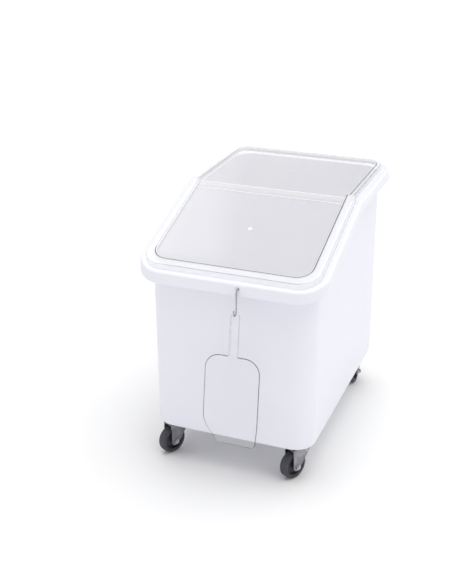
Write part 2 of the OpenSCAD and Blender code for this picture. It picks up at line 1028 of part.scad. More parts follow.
module rigid_bracket() {
    axle = [0, wheel_r];
    top = plate_z + plate_t/2;
    color(zinc)
        difference() {
            union() {
                translate([0, 0, plate_z])
                    linear_extrude(plate_t)
                        plate_outline();
                leg_pair() {
                    translate(axle)
                        circle(leg_nose);
                    polygon([
                        [rigid_half, top],
                        [-rigid_half, top],
                        touch([-rigid_half, top], axle, leg_nose, 1),
                        axle,
                        touch([rigid_half, top], axle, leg_nose, -1)
                    ]);
                }
            }
            axle_bore(0, wheel_r, axle_r + hole_fit);
            at_screws()
                translate([0, 0, plate_z - over])
                    cylinder(r = screw_r + hole_fit, h = plate_t + 2*over);
        }
}

// Places of the casters' parts
module at_front(side) {
    translate([side*caster_x, -front_y, 0])
        children();
}

module at_front_turned(side) {
    at_front(side)
        rotate([0, 0, -yaw])
            children();
}

module at_front_axle(side) {
    at_front_turned(side)
        translate([0, -trail, wheel_r])
            children();
}

module at_rear(side) {
    translate([side*caster_x, rear_y, 0])
        children();
}

module at_rear_axle(side) {
    at_rear(side)
        translate([0, 0, wheel_r])
            rotate([0, 0, side < 0 ? half_turn : 0])
                children();
}

module front_left_plate() { at_front(-1) swivel_plate(); }
module front_left_kingpin() { at_front(-1) kingpin(); }
module front_left_balls() { at_front(-1) ball_ring(); }
module front_left_fork() { at_front_turned(-1) plain_fork(); }
module front_left_axle_bolt() { at_front_axle(-1) axle_bolt(); }
module front_left_axle_nut() { at_front_axle(-1) axle_nut(); }
module front_left_sleeve() { at_front_axle(-1) axle_sleeve(); }
module front_left_core() { at_front_axle(-1) wheel_core(); }
module front_left_tyre() { at_front_axle(-1) wheel_tyre(); }
module front_left_screws() { at_front(-1) plate_screws(); }
module front_right_plate() { at_front(1) swivel_plate(); }
module front_right_kingpin() { at_front(1) kingpin(); }
module front_right_balls() { at_front(1) ball_ring(); }
module front_right_fork() { at_front_turned(1) brake_fork(); }
module front_right_axle_bolt() { at_front_axle(1) axle_bolt(); }
module front_right_axle_nut() { at_front_axle(1) axle_nut(); }
module front_right_sleeve() { at_front_axle(1) axle_sleeve(); }
module front_right_core() { at_front_axle(1) wheel_core(); }
module front_right_tyre() { at_front_axle(1) wheel_tyre(); }
module front_right_screws() { at_front(1) plate_screws(); }
module brake_pedal() { at_front_turned(1) pedal(); }
module brake_pin() { at_front_turned(1) pivot_pin(); }
module rear_left_bracket() { at_rear(-1) rigid_bracket(); }
module rear_left_axle_bolt() { at_rear_axle(-1) axle_bolt(); }
module rear_left_axle_nut() { at_rear_axle(-1) axle_nut(); }
module rear_left_sleeve() { at_rear_axle(-1) axle_sleeve(); }
module rear_left_core() { at_rear_axle(-1) wheel_core(); }
module rear_left_tyre() { at_rear_axle(-1) wheel_tyre(); }
module rear_left_screws() { at_rear(-1) plate_screws(); }
module rear_right_bracket() { at_rear(1) rigid_bracket(); }
module rear_right_axle_bolt() { at_rear_axle(1) axle_bolt(); }
module rear_right_axle_nut() { at_rear_axle(1) axle_nut(); }
module rear_right_sleeve() { at_rear_axle(1) axle_sleeve(); }
module rear_right_core() { at_rear_axle(1) wheel_core(); }
module rear_right_tyre() { at_rear_axle(1) wheel_tyre(); }
module rear_right_screws() { at_rear(1) plate_screws(); }

tub();
rear_lid();
ridge_rod();
front_lid();
s_hook();
scoop();
thread_inserts();
front_left_plate();
front_left_kingpin();
front_left_balls();
front_left_fork();
front_left_axle_bolt();
front_left_axle_nut();
front_left_sleeve();
front_left_core();
front_left_tyre();
front_left_screws();
front_right_plate();
front_right_kingpin();
front_right_balls();
front_right_fork();
front_right_axle_bolt();
front_right_axle_nut();
front_right_sleeve();
front_right_core();
front_right_tyre();
front_right_screws();
brake_pedal();
brake_pin();
rear_left_bracket();
rear_left_axle_bolt();
rear_left_axle_nut();
rear_left_sleeve();
rear_left_core();
rear_left_tyre();
rear_left_screws();
rear_right_bracket();
rear_right_axle_bolt();
rear_right_axle_nut();
rear_right_sleeve();
rear_right_core();
rear_right_tyre();
rear_right_screws();
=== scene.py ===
import math

import bmesh
import bpy
from mathutils import Matrix, Vector


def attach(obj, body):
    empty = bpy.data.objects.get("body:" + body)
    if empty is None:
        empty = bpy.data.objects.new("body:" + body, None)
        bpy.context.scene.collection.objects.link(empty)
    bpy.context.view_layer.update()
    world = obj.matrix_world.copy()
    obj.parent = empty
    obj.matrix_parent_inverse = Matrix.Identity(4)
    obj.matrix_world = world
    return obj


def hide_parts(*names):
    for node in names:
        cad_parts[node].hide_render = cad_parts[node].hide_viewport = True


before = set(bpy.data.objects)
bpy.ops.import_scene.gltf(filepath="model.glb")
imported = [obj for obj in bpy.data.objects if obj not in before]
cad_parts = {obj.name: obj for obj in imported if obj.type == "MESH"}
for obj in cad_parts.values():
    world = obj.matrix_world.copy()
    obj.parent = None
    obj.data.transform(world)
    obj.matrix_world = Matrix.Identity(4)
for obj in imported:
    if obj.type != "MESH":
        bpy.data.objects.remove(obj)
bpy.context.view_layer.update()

# Lengths are in millimetres, as in the part's source, and MM turns them into metres
MM = 0.001
# Points of a finished mesh that are closer than this become one
WELD = 0.03

# Tub: half widths (HW), half lengths (HL), heights (Z, H) and radii (R)
RIM_HW, RIM_HL, RIM_R = 254.0, 374.5, 75.0
TOP_HW, TOP_HL = 226.0, 346.5
BASE_HW, BASE_Y0, BASE_Y1, BASE_R = 221.0, -330.5, 350.5, 58.0
BASE_Z, BASE_EDGE = 105.0, 10.0
SEAT_Z, LIP_H, BEAD_H = 689.7, 28.0, 3.0
WALL, FLOOR_T = 4.5, 5.0
NECK_R, LIP_R, CROWN_R, BEAD_R, MOUTH_R, FLOOR_R = 5.0, 4.0, 5.5, 1.7, 2.2, 6.0
BEAD_IN, SEAT_IN, MOUTH_DROP = 9.0, 13.0, 3.0
WALL_SHARES = (0.2, 0.45, 0.7, 0.9)
SIDE_Y = [-240, -180, -120, -70, -40, -20, -14, -10, -7, -4, 0, 6, 20, 50, 110, 180, 240]
CORNER_STEPS, WALL_ROUNDS = 12, 4

# The ridge between the lids, and the slope in front of it
SLOPE = math.radians(18.5)
RIDGE_Y, ROD_Z, SEAT_DROP = -8.0, 696.0, 6.3
BREAK_Y = RIDGE_Y + SEAT_DROP*math.tan(SLOPE/2)
RIDGE_BEND = 6.0

# The hook's hole in the lip, as radius and depth, and the bosses over the casters' screws
HOOK_X, HOLE_Z = 38.0, 558.68
HOOK_HOLE = [(6.4, -4), (6.4, -2.4), (4, -0.4), (4, 0.4), (6.4, 2.4), (6.4, 4)]
CASTER_X, CASTER_Y = 175, (-259, 284)
SCREW_X, SCREW_Y = 25.5, 32
BOSS = [(9, 0), (9, 11.6), (8.6, 12.6), (7.6, 13)]
BOSS_SUNK, BOSS_STEPS = 2, 32

# Lids: each outline is a half width, a length and a corner radius
FRONT_FRAME, FRONT_PANEL = (236, 377.2, 57), (208, 349.2, 38)
FRONT_LOW, FRONT_TOP, FRONT_FLOOR = -6.0, 14.3, 6.3
FRONT_BACK, FRONT_GATE = 4.5, 180
REAR_FRAME, REAR_PANEL = (228, 359.6, 45), (211.8, 335.6, 28)
REAR_LOW, REAR_TOP, REAR_FLOOR = 0, 17, 9
REAR_Y, REAR_Z, REAR_GATE_Y = -4.6, 690, 168
LID_T, LID_EASE = 3.0, 0.5
FRAME_R, SHOULDER_IN, SHOULDER_R, PANEL_R = 3.8, 6, 3.4, 2
SIDE_STEPS = 8
# Profiles of a pull rib, as run and rise, and of a gate mark, as radius and height
RIB = [(-1.5, 4.8), (1.5, 4.8), (1.5, 7.0), (1.0, 7.5), (-1.0, 7.5), (-1.5, 7.0)]
RIB_HW, RIB_PLACES = 209.5, (0, 30)
GATE = [(1.2, -1), (6.2, -1), (6.2, 0.05), (5.6, 0.45), (3.4, 0.45), (2.8, 0.15), (1.2, 0.15)]
# Low enough for the front lid to pass over the rear lid's mark
LOW_GATE_SHARE = 0.4
EAR_R, EAR_BACK, EAR_T, EAR_STEPS = 5, 9.5, 2.8, 14
EAR_X = (-214.7, 211.9)
EAR_BORE, BORE_STEPS = [(2.05, -2), (2.05, 5)], 24
# A lid's looks; a face on the open edge takes the look after the one of its band
LID_LOOKS = ["clear_lid", "lid_edge", "lid_frame", "lid_edge", "lid_crease", "rib_white"]
# The edge and crease looks are painted shade lines, the frame look is painted light, and the mark
# look is a painted highlight
EDGE_SHADE_LOOK, FRAME_LIGHT_LOOK, CREASE_SHADE_LOOK, MARK_HIGHLIGHT_LOOK = 1, 2, 4, 5
FRAME_BANDS, CREASE_BAND, EDGE_BAND = 14, 7, 3

# Scoop: u runs down from the grip's top end, w from the brim to the bowl's back
SCOOP_Y, SCOOP_Z, SCOOP_LEAN = -391.25, 496.28, math.radians(-7)
SCOOP_T, SCOOP_EASE, HANG_RISE = 2.5, 0.6, 4
BOWL_DEEP, BOWL_FILLET, BOWL_BRIM = 50.0, 9.0, 0.95
BOWL_W = (BOWL_BRIM, 2, 4, 7, 11, 15, 21, 28, 35)
BOWL_HW, BOWL_IN, BOWL_U, BOWL_DOWN, BOWL_R = 74, 20, 112, 16, 40
BOWL_STEPS, FILLET_STEPS = 16, 6
MOUTH_U, MOUTH_RUN, MOUTH_POWER = 275, 82, 0.6
LIP_U, LIP_POWER = 370, 0.8
GRIP_HW, GRIP_L, GRIP_DEEP, GRIP_EASE, GRIP_STEPS = 12.5, 115, 8, 1.0, 24
CHANNEL_HW, CHANNEL_U0, CHANNEL_U1 = 10, -5, 125
HANG_U = 9
HANG_HOLE = [(7, -2), (7, -0.21), (5, 0.85), (5, 1.65), (7, 2.71), (7, 4)]
# The scoop's edge look is a painted shade outline and its wall look is painted shade on the
# handle's side walls
SCOOP_LOOKS = ["clear_scoop", "scoop_edge", "scoop_wall"]
WALL_SHADE_LOOK, WALL_FACING = 2, 0.6

# A profile in Y and Z, drawn in X and Y, pushed along X
SIDEWAYS = Matrix(((0, 0, 1, 0), (1, 0, 0, 0), (0, 1, 0, 0), (0, 0, 0, 1)))


def link(obj):
    bpy.context.scene.collection.objects.link(obj)
    return obj


def camera():
    """The photo's camera, fitted to the rim, the base, the ridge and the wheels."""
    photo_w, photo_h, sensor, far_m = 452, 584, 36, 500
    focal_px, centre_px, shift_px = 1053.5, 227.5, 100
    az, el = math.radians(21.255), math.radians(18.397)
    aim, distance = Vector((-133.8, 0, 673.7)), 2946
    back = Vector((math.sin(az)*math.cos(el), -math.cos(az)*math.cos(el), math.sin(el)))
    right = Vector((math.cos(az), math.sin(az), 0))
    up = back.cross(right)
    cam = bpy.data.cameras.new("camera")
    cam.sensor_fit = "AUTO"
    cam.sensor_width = sensor
    cam.lens = focal_px*sensor/photo_h
    cam.shift_x = -(centre_px - photo_w/2)/photo_h
    cam.shift_y = -shift_px/photo_h
    cam.clip_end = far_m
    obj = link(bpy.data.objects.new("camera", cam))
    place = Matrix((right, up, back)).transposed().to_4x4()
    place.translation = (aim + back*distance)*MM
    obj.matrix_world = place
    bpy.context.scene.camera = obj


camera()


def new_material(name):
    mat = bpy.data.materials.new(name)
    mat.use_nodes = True
    nodes = mat.node_tree.nodes
    return mat, mat.node_tree, nodes["Principled BSDF"], nodes.new("ShaderNodeTexCoord")


def put(node, values):
    for key, value in values.items():
        node.inputs[key].default_value = value


def noise(tree, coord, scale, detail=4.0, rough=0.55, stretch=None):
    tex = tree.nodes.new("ShaderNodeTexNoise")
    put(tex, {"Scale": scale, "Detail": detail, "Roughness": rough})
    source = coord.outputs["Object"]
    if stretch:
        fit = tree.nodes.new("ShaderNodeMapping")
        put(fit, {"Scale": stretch})
        tree.links.new(source, fit.inputs["Vector"])
        source = fit.outputs["Vector"]
    tree.links.new(source, tex.inputs["Vector"])
    return tex.outputs["Fac"]


def ramp(tree, source, stops):
    node = tree.nodes.new("ShaderNodeValToRGB")
    marks = node.color_ramp.elements
    for mark, (place, colour) in ((marks[0], stops[0]), (marks[1], stops[-1])):
        mark.position, mark.color = place, (*colour, 1)
    for place, colour in stops[1:-1]:
        marks.new(place).color = (*colour, 1)
    tree.links.new(source, node.inputs["Fac"])
    return node.outputs["Color"]


def spread(tree, source, low, high):
    node = tree.nodes.new("ShaderNodeMapRange")
    put(node, {"To Min": low, "To Max": high})
    tree.links.new(source, node.inputs["Value"])
    return node.outputs["Result"]


def bump(tree, bsdf, layers):
    normal = None
    for layer in layers:
        node = tree.nodes.new("ShaderNodeBump")
        put(node, {"Strength": layer["strength"], "Distance": layer["depth"]})
        tree.links.new(layer["height"], node.inputs["Height"])
        if normal:
            tree.links.new(normal, node.inputs["Normal"])
        normal = node.outputs["Normal"]
    tree.links.new(normal, bsdf.inputs["Normal"])


def coat(tree, bsdf, tone, rough):
    tree.links.new(tone, bsdf.inputs["Base Color"])
    tree.links.new(rough, bsdf.inputs["Roughness"])


def tub_plastic(name):
    mat, tree, bsdf, coord = new_material(name)
    cloud = noise(tree, coord, scale=3.5, detail=5)
    skin = noise(tree, coord, scale=900, detail=3, rough=0.6)
    wave = noise(tree, coord, scale=14, detail=2)
    tone = ramp(tree, cloud, [(0.30, (0.834, 0.841, 0.918)),
                              (0.50, (0.849, 0.856, 0.930)),
                              (0.70, (0.861, 0.868, 0.938))])
    coat(tree, bsdf, tone, spread(tree, cloud, low=0.30, high=0.44))
    put(bsdf, {"IOR": 1.51, "Subsurface Weight": 0.12, "Subsurface Scale": 0.004,
               "Subsurface Radius": (0.9, 0.9, 1.0)})
    bump(tree, bsdf, [dict(height=wave, strength=0.05, depth=0.004),
                      dict(height=skin, strength=0.06, depth=0.0004)])
    return mat


def zinc(name):
    mat, tree, bsdf, coord = new_material(name)
    spangle = tree.nodes.new("ShaderNodeTexVoronoi")
    put(spangle, {"Scale": 190})
    tree.links.new(coord.outputs["Object"], spangle.inputs["Vector"])
    crystal = spangle.outputs["Distance"]
    cloud = noise(tree, coord, scale=45, detail=5)
    fine = noise(tree, coord, scale=1100, detail=2)
    tone = ramp(tree, cloud, [(0.28, (0.235, 0.222, 0.245)),
                              (0.52, (0.330, 0.314, 0.340)),
                              (0.74, (0.440, 0.424, 0.448))])
    coat(tree, bsdf, tone, spread(tree, crystal, low=0.30, high=0.52))
    put(bsdf, {"Metallic": 1})
    bump(tree, bsdf, [dict(height=crystal, strength=0.06, depth=0.0005),
                      dict(height=fine, strength=0.08, depth=0.0002)])
    return mat


def clear_plastic(name, tint, low, high, cover):
    mat, tree, bsdf, coord = new_material(name)
    cloud = noise(tree, coord, scale=6, detail=4)
    flow = noise(tree, coord, scale=9, detail=2, rough=0.4, stretch=(1, 0.35, 1))
    scuff = noise(tree, coord, scale=60, detail=3, rough=0.6, stretch=(1, 0.12, 1))
    paler = tuple(min(1, c + 0.02) for c in tint)
    tone = ramp(tree, cloud, [(0.3, tint), (0.7, paler)])
    coat(tree, bsdf, tone, spread(tree, scuff, low, high))
    put(bsdf, {"IOR": 1.58, "Alpha": cover})
    bump(tree, bsdf, [dict(height=flow, strength=0.04, depth=0.003)])
    return mat


def bright(name, low, high, dark, light):
    mat, tree, bsdf, coord = new_material(name)
    cloud = noise(tree, coord, scale=120, detail=4)
    drawn = noise(tree, coord, scale=500, detail=3, rough=0.6, stretch=(1, 1, 0.06))
    tone = ramp(tree, cloud, [(0.3, dark), (0.7, light)])
    coat(tree, bsdf, tone, spread(tree, drawn, low, high))
    put(bsdf, {"Metallic": 1})
    bump(tree, bsdf, [dict(height=drawn, strength=0.08, depth=0.0002)])
    return mat


def rubber(name, dark, light, low, high):
    mat, tree, bsdf, coord = new_material(name)
    dust = noise(tree, coord, scale=38, detail=6, rough=0.65)
    grain = noise(tree, coord, scale=750, detail=3, rough=0.6)
    mid = tuple((a + b)/2 for a, b in zip(dark, light))
    tone = ramp(tree, dust, [(0.34, dark), (0.52, mid), (0.72, light)])
    coat(tree, bsdf, tone, spread(tree, dust, low, high))
    bump(tree, bsdf, [dict(height=dust, strength=0.10, depth=0.0010),
                      dict(height=grain, strength=0.18, depth=0.0003)])
    return mat


# Tint, least and most roughness, and the share of light that is held back
CLEAR = {
    "clear_lid": ((0.985, 0.972, 0.960), 0.06, 0.16, 0.28),
    # Whiter and more opaque than the panel: painted light in place of the lit white rim showing
    # through the border
    "lid_frame": ((0.915, 0.920, 0.938), 0.08, 0.20, 0.46),
    # A grey painted shade line on the lid's step and on faces seen edge-on, in place of
    # refraction shade
    "lid_edge": ((0.520, 0.520, 0.545), 0.10, 0.20, 0.42),
    # A near-opaque white painted highlight on the pull ribs and gate marks
    "rib_white": ((0.965, 0.965, 0.975), 0.10, 0.20, 0.70),
    # A near-black line painted along the panel's edge: painted shade in place of the dark
    # refraction there
    "lid_crease": ((0.060, 0.052, 0.056), 0.10, 0.20, 0.62),
    "clear_scoop": ((0.860, 0.868, 0.905), 0.03, 0.09, 0.09),
    # A dark painted shade outline on the scoop's rim, in place of refraction shade at the edges
    "scoop_edge": ((0.080, 0.062, 0.060), 0.10, 0.20, 0.85),
    # A grey painted shade on the handle's sideways-facing walls, in place of edge-on refraction
    # shade
    "scoop_wall": ((0.420, 0.415, 0.430), 0.05, 0.12, 0.30),
}
# Least and most roughness, darkest and lightest tone
BRIGHT = {
    "bright_steel": (0.16, 0.34, (0.50, 0.50, 0.52), (0.66, 0.66, 0.68)),
    "hook_wire": (0.20, 0.38, (0.30, 0.30, 0.32), (0.46, 0.46, 0.48)),
    "insert_brass": (0.25, 0.45, (0.52, 0.36, 0.13), (0.66, 0.48, 0.20)),
}
# Darkest and lightest tone, least and most roughness
RUBBER = {
    "wheel_core": ((0.020, 0.021, 0.034), (0.050, 0.050, 0.072), 0.38, 0.60),
    "wheel_tread": ((0.036, 0.036, 0.050), (0.082, 0.081, 0.100), 0.55, 0.80),
}
LOOKS = {"tub_plastic": tub_plastic("tub_plastic"), "zinc_plate": zinc("zinc_plate")}
for make, table in ((clear_plastic, CLEAR), (bright, BRIGHT), (rubber, RUBBER)):
    for name, row in table.items():
        LOOKS[name] = make(name, *row)

NODE_LOOKS = {
    "tub": "tub_plastic", "rear_lid": "clear_lid", "front_lid": "clear_lid",
    "ridge_rod": "clear_lid", "scoop": "clear_scoop", "s_hook": "hook_wire",
    "thread_inserts": "insert_brass",
}
STEEL_ENDS = ("bolt", "nut", "sleeve", "screws", "balls", "kingpin", "pin")
END_LOOKS = ((("tyre",), "wheel_tread"), (("core",), "wheel_core"), (STEEL_ENDS, "bright_steel"))


def look_of(node):
    if node in NODE_LOOKS:
        return NODE_LOOKS[node]
    for ends, look in END_LOOKS:
        if node.endswith(ends):
            return look
    return "zinc_plate"


for name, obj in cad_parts.items():
    obj.data.materials.clear()
    obj.data.materials.append(LOOKS[look_of(name)])


def arc(cx, cy, r, a0, a1, steps):
    """Points on an arc from a0 to a1 degrees, both ends included."""
    turns = [math.radians(a0 + (a1 - a0)*k/steps) for k in range(steps + 1)]
    return [(cx + r*math.cos(a), cy + r*math.sin(a)) for a in turns]


def add_looks(obj, looks):
    for look in looks:
        obj.data.materials.append(LOOKS[look])


def solid(name, verts, faces, looks=()):
    mesh = bpy.data.meshes.new(name)
    mesh.from_pydata([Vector(v)*MM for v in verts], [], faces)
    mesh.update()
    obj = link(bpy.data.objects.new(name, mesh))
    add_looks(obj, looks)
    return obj


def capped(rings):
    """Joins closed rings of equal count into one skin, with a cap at each end."""
    n = len(rings[0])
    last = (len(rings) - 1)*n
    faces = [tuple(range(n - 1, -1, -1)), tuple(range(last, last + n))]
    for i in range(0, last, n):
        for k in range(n):
            m = (k + 1) % n
            faces.append((i + k, i + m, i + n + m, i + n + k))
    return [p for ring in rings for p in ring], faces


def trough(rings):
    """Joins open rings of equal count into one skin, with a floor across the last."""
    n = len(rings[0])
    last = (len(rings) - 1)*n
    faces = [(i + k, i + k + 1, i + n + k + 1, i + n + k)
             for i in range(0, last, n) for k in range(n - 1)]
    faces += [(last + k, last + k + 1, last + n - 2 - k, last + n - 1 - k)
              for k in range(n//2 - 1)]
    return [p for ring in rings for p in ring], faces


def lathe(name, profile, place, steps=40):
    turns = [2*math.pi*k/steps for k in range(steps)]
    rings = [[place @ Vector((r*math.cos(a), r*math.sin(a), h)) for a in turns]
             for r, h in profile]
    return solid(name, *capped(rings))


def prism(name, pts, depth, place):
    return solid(name, *capped([[place @ Vector((x, y, h)) for x, y in pts] for h in (0, depth)]))


def settle(obj):
    """Applies the object's modifiers to its mesh."""
    bpy.context.view_layer.update()
    shape = obj.evaluated_get(bpy.context.evaluated_depsgraph_get())
    made = bpy.data.meshes.new_from_object(shape)
    obj.modifiers.clear()
    old = obj.data
    obj.data = made
    bpy.data.meshes.remove(old)


def cut(obj, tool, how="DIFFERENCE"):
    mod = obj.modifiers.new("cut", "BOOLEAN")
    mod.operation = how
    mod.solver = "EXACT"
    mod.object = tool
    settle(obj)
    data = tool.data
    bpy.data.objects.remove(tool)
    bpy.data.meshes.remove(data)


def thicken(obj, thickness):
    mod = obj.modifiers.new("wall", "SOLIDIFY")
    mod.thickness = thickness*MM
    mod.offset = -1
    mod.use_even_offset = True
    mod.use_quality_normals = True
    mod.material_offset_rim = 1
    settle(obj)


def ease(obj, width, angle=50):
    mod = obj.modifiers.new("ease", "BEVEL")
    mod.width = width*MM
    mod.segments = 2
    mod.limit_method = "ANGLE"
    mod.angle_limit = math.radians(angle)
    settle(obj)


def finish_piece(obj, body, node, angle=35):
    """Welds the mesh, shades it smooth up to the angle, hangs it on its body's empty and hides
    the CAD part.
    """
    bm = bmesh.new()
    bm.from_mesh(obj.data)
    bmesh.ops.remove_doubles(bm, verts=bm.verts, dist=WELD*MM)
    bmesh.ops.dissolve_degenerate(bm, edges=bm.edges, dist=WELD*MM)
    bm.normal_update()
    limit = math.radians(angle)
    for face in bm.faces:
        face.smooth = True
    for edge in bm.edges:
        edge.smooth = not (len(edge.link_faces) == 2 and edge.calc_face_angle(0) > limit)
    bm.to_mesh(obj.data)
    bm.free()
    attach(obj, body)
    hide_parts(node)


def seat(y):
    """Height of the rim's seat: flat behind the ridge, sloping before it, rounded between."""
    grade = math.tan(SLOPE)
    if y > BREAK_Y + RIDGE_BEND:
        return SEAT_Z
    if y < BREAK_Y - RIDGE_BEND:
        return SEAT_Z + (y - BREAK_Y)*grade
    return SEAT_Z - grade/(4*RIDGE_BEND)*(BREAK_Y + RIDGE_BEND - y)**2


def outline(hw, y0, y1, r):
    pts = [(hw, y) for y in SIDE_Y]
    for cx, cy, a in ((hw - r, y1 - r, 0), (r - hw, y1 - r, 90)):
        pts += arc(cx, cy, r, a, a + 90, CORNER_STEPS)
    pts += [(-hw, y) for y in reversed(SIDE_Y)]
    for cx, cy, a in ((r - hw, y0 + r, 180), (hw - r, y0 + r, 270)):
        pts += arc(cx, cy, r, a, a + 90, CORNER_STEPS)
    return pts


def rim_ring(inset, rise):
    rim = outline(RIM_HW - inset, inset - RIM_HL, RIM_HL - inset, RIM_R - inset)
    return [(x, y, seat(y) + rise) for x, y in rim]


def wall_points(inset):
    low = outline(BASE_HW - inset, BASE_Y0 + inset, BASE_Y1 - inset, BASE_R - inset)
    high = outline(TOP_HW - inset, inset - TOP_HL, TOP_HL - inset, BASE_R - inset)
    return list(zip(low, high))


def wall_at(pair, z):
    t = (z - BASE_Z)/(SEAT_Z - BASE_Z)
    return tuple(a + (b - a)*t for a, b in zip(*pair))


def wall_ring(inset, share, foot, rise):
    """A ring on the slanting wall, at a share of the way from foot to the seat plus rise."""
    ring = []
    for pair in wall_points(inset):
        z = SEAT_Z
        # The seat's height depends on where the wall is at that height
        for _ in range(WALL_ROUNDS):
            top = seat(wall_at(pair, z)[1]) + rise
            z = foot + (top - foot)*share
        ring.append((*wall_at(pair, z), z))
    return ring


def flat_ring(inset, z):
    return [(*wall_at(pair, z), z) for pair in wall_points(inset)]


def tub_rings():
    """Rings from the base's outside, up and over the rim, and down to the floor's inside."""
    base, neck, floor = BASE_Z + BASE_EDGE, -WALL - NECK_R, BASE_Z + FLOOR_T + FLOOR_R
    rings = [flat_ring(d, z) for d, z in arc(BASE_EDGE, base, BASE_EDGE, 270, 180, steps=5)]
    rings += [wall_ring(0, share, base, neck) for share in (*WALL_SHARES, 1.0)]
    pairs = list(zip(wall_ring(0, 1, BASE_Z, neck), rim_ring(0, 0)))
    for d, h in arc(-NECK_R, -NECK_R, NECK_R, 0, 90, steps=4)[1:]:
        t = -d/(RIM_HW - TOP_HW)
        rings.append([(a[0] + (b[0] - a[0])*t, a[1] + (b[1] - a[1])*t, seat(a[1]) - WALL + h)
                      for a, b in pairs])
    rim = arc(WALL + LIP_R, -WALL - LIP_R, LIP_R, 90, 180, steps=3)
    rim += arc(WALL/2, WALL/2 - LIP_H, WALL/2, 360, 180, steps=8)
    rim += arc(CROWN_R, BEAD_H - CROWN_R, CROWN_R, 180, 90, steps=6)
    rim += arc(BEAD_IN, BEAD_H - BEAD_R, BEAD_R, 90, 10, steps=4)
    rim.append((SEAT_IN, 0))
    rings += [rim_ring(d, h) for d, h in rim]
    rings += [wall_ring(d, 1, BASE_Z, h)
              for d, h in arc(WALL - MOUTH_R, -MOUTH_R, MOUTH_R, 90, 0, steps=4)]
    rings += [wall_ring(WALL, share, floor, -MOUTH_DROP) for share in reversed(WALL_SHARES)]
    rings += [flat_ring(d, z) for d, z in arc(WALL + FLOOR_R, floor, FLOOR_R, 180, 270, steps=5)]
    return rings


def make_tub():
    obj = solid("tub_shell", *capped(tub_rings()), ["tub_plastic"])
    through = Matrix.Rotation(math.radians(90), 4, "X")
    lip = Matrix.Translation((HOOK_X, WALL/2 - RIM_HL, HOLE_Z))
    cut(obj, lathe("hole", HOOK_HOLE, lip @ through))
    for side in (-1, 1):
        for along in CASTER_Y:
            for sx in (-1, 1):
                for sy in (-1, 1):
                    spot = Matrix.Translation((side*CASTER_X + sx*SCREW_X, along + sy*SCREW_Y,
                                               BASE_Z + FLOOR_T - BOSS_SUNK))
                    cut(obj, lathe("boss", BOSS, spot, BOSS_STEPS), "UNION")
    finish_piece(obj, "tub_body", "tub")


def tongue(hw, length, r, steps=CORNER_STEPS):
    """An open outline: up one side, round two corners and down the other side."""
    side = length - r
    pts = [(hw, side - side*k/SIDE_STEPS) for k in range(SIDE_STEPS, 0, -1)]
    pts += arc(hw - r, side, r, 0, 90, steps)
    pts += arc(r - hw, side, r, 90, 180, steps)
    pts += [(-hw, side - side*k/SIDE_STEPS) for k in range(1, SIDE_STEPS + 1)]
    return pts


def grown(dims, d):
    return tuple(v + d for v in dims)


def tray(outer, panel, low, top, floor):
    """Outlines and heights of a lid, from its skirt over its frame to its sunk panel."""
    stations = [(outer, low)]
    stations += [(grown(outer, -d), h)
                 for d, h in arc(FRAME_R, top - FRAME_R, FRAME_R, 180, 90, steps=5)]
    stations.append((grown(panel, SHOULDER_IN), top))
    shoulder = grown(panel, SHOULDER_R)
    stations += [(grown(shoulder, -d), h)
                 for d, h in arc(0, top - SHOULDER_R, SHOULDER_R, 90, 0, steps=5)]
    stations += [(grown(panel, d), h)
                 for d, h in arc(-PANEL_R, floor + PANEL_R, PANEL_R, 0, -90, steps=4)]
    return stations


def make_lid(name, stations, place, front):
    rings = [[place @ Vector((x, v, h)) for x, v in tongue(*dims)] for dims, h in stations]
    verts, faces = trough(rings)
    if front:
        # The front lid's place is a mirror image, so its faces are turned over
        faces = [tuple(reversed(f)) for f in faces]
    obj = solid(name, verts, faces, LID_LOOKS)
    around = len(rings[0]) - 1
    for face in obj.data.polygons:
        band, k = divmod(face.index, around)
        # The crease band gets the near-black painted shade line; the front lid's left side gets
        # the lighter painted grey line instead
        if band == CREASE_BAND:
            # The photo's front lid shows no dark line along its left side
            left = k >= around - SIDE_STEPS
            face.material_index = EDGE_SHADE_LOOK if front and left else CREASE_SHADE_LOOK
        # The edge band gets a painted shade line: grey on the front lid, near-black on the rear
        # lid
        elif band == EDGE_BAND:
            face.material_index = EDGE_SHADE_LOOK if front else CREASE_SHADE_LOOK
        # The frame bands get the whiter painted light look
        elif band < FRAME_BANDS:
            face.material_index = FRAME_LIGHT_LOOK
    thicken(obj, LID_T)
    ease(obj, LID_EASE)
    # Clear plastic lets the light through to the tub's inside
    obj.visible_shadow = False
    return obj


def make_front_lid():
    rod = Matrix.Translation((0, RIDGE_Y, ROD_Z)) @ Matrix.Rotation(SLOPE, 4, "X")
    run = rod @ Matrix.Translation((0, FRONT_BACK, 0)) @ Matrix.Diagonal((1, -1, 1, 1))
    stations = tray(FRONT_FRAME, FRONT_PANEL, FRONT_LOW, FRONT_TOP, FRONT_FLOOR)
    obj = make_lid("front_lid_tray", stations, run, True)
    marks = [lathe("gate", GATE, rod @ Matrix.Translation((0, -FRONT_GATE, FRONT_FLOOR)))]
    for v in RIB_PLACES:
        place = rod @ Matrix.Translation((-RIB_HW, -v, 0)) @ SIDEWAYS
        marks.append(prism("rib", RIB, 2*RIB_HW, place))
    for mark in marks:
        # The ribs and the gate mark get the white painted highlight
        add_looks(mark, LID_LOOKS)
        for face in mark.data.polygons:
            face.material_index = MARK_HIGHLIGHT_LOOK
        cut(obj, mark, "UNION")
    finish_piece(obj, "front_lid_body", "front_lid")


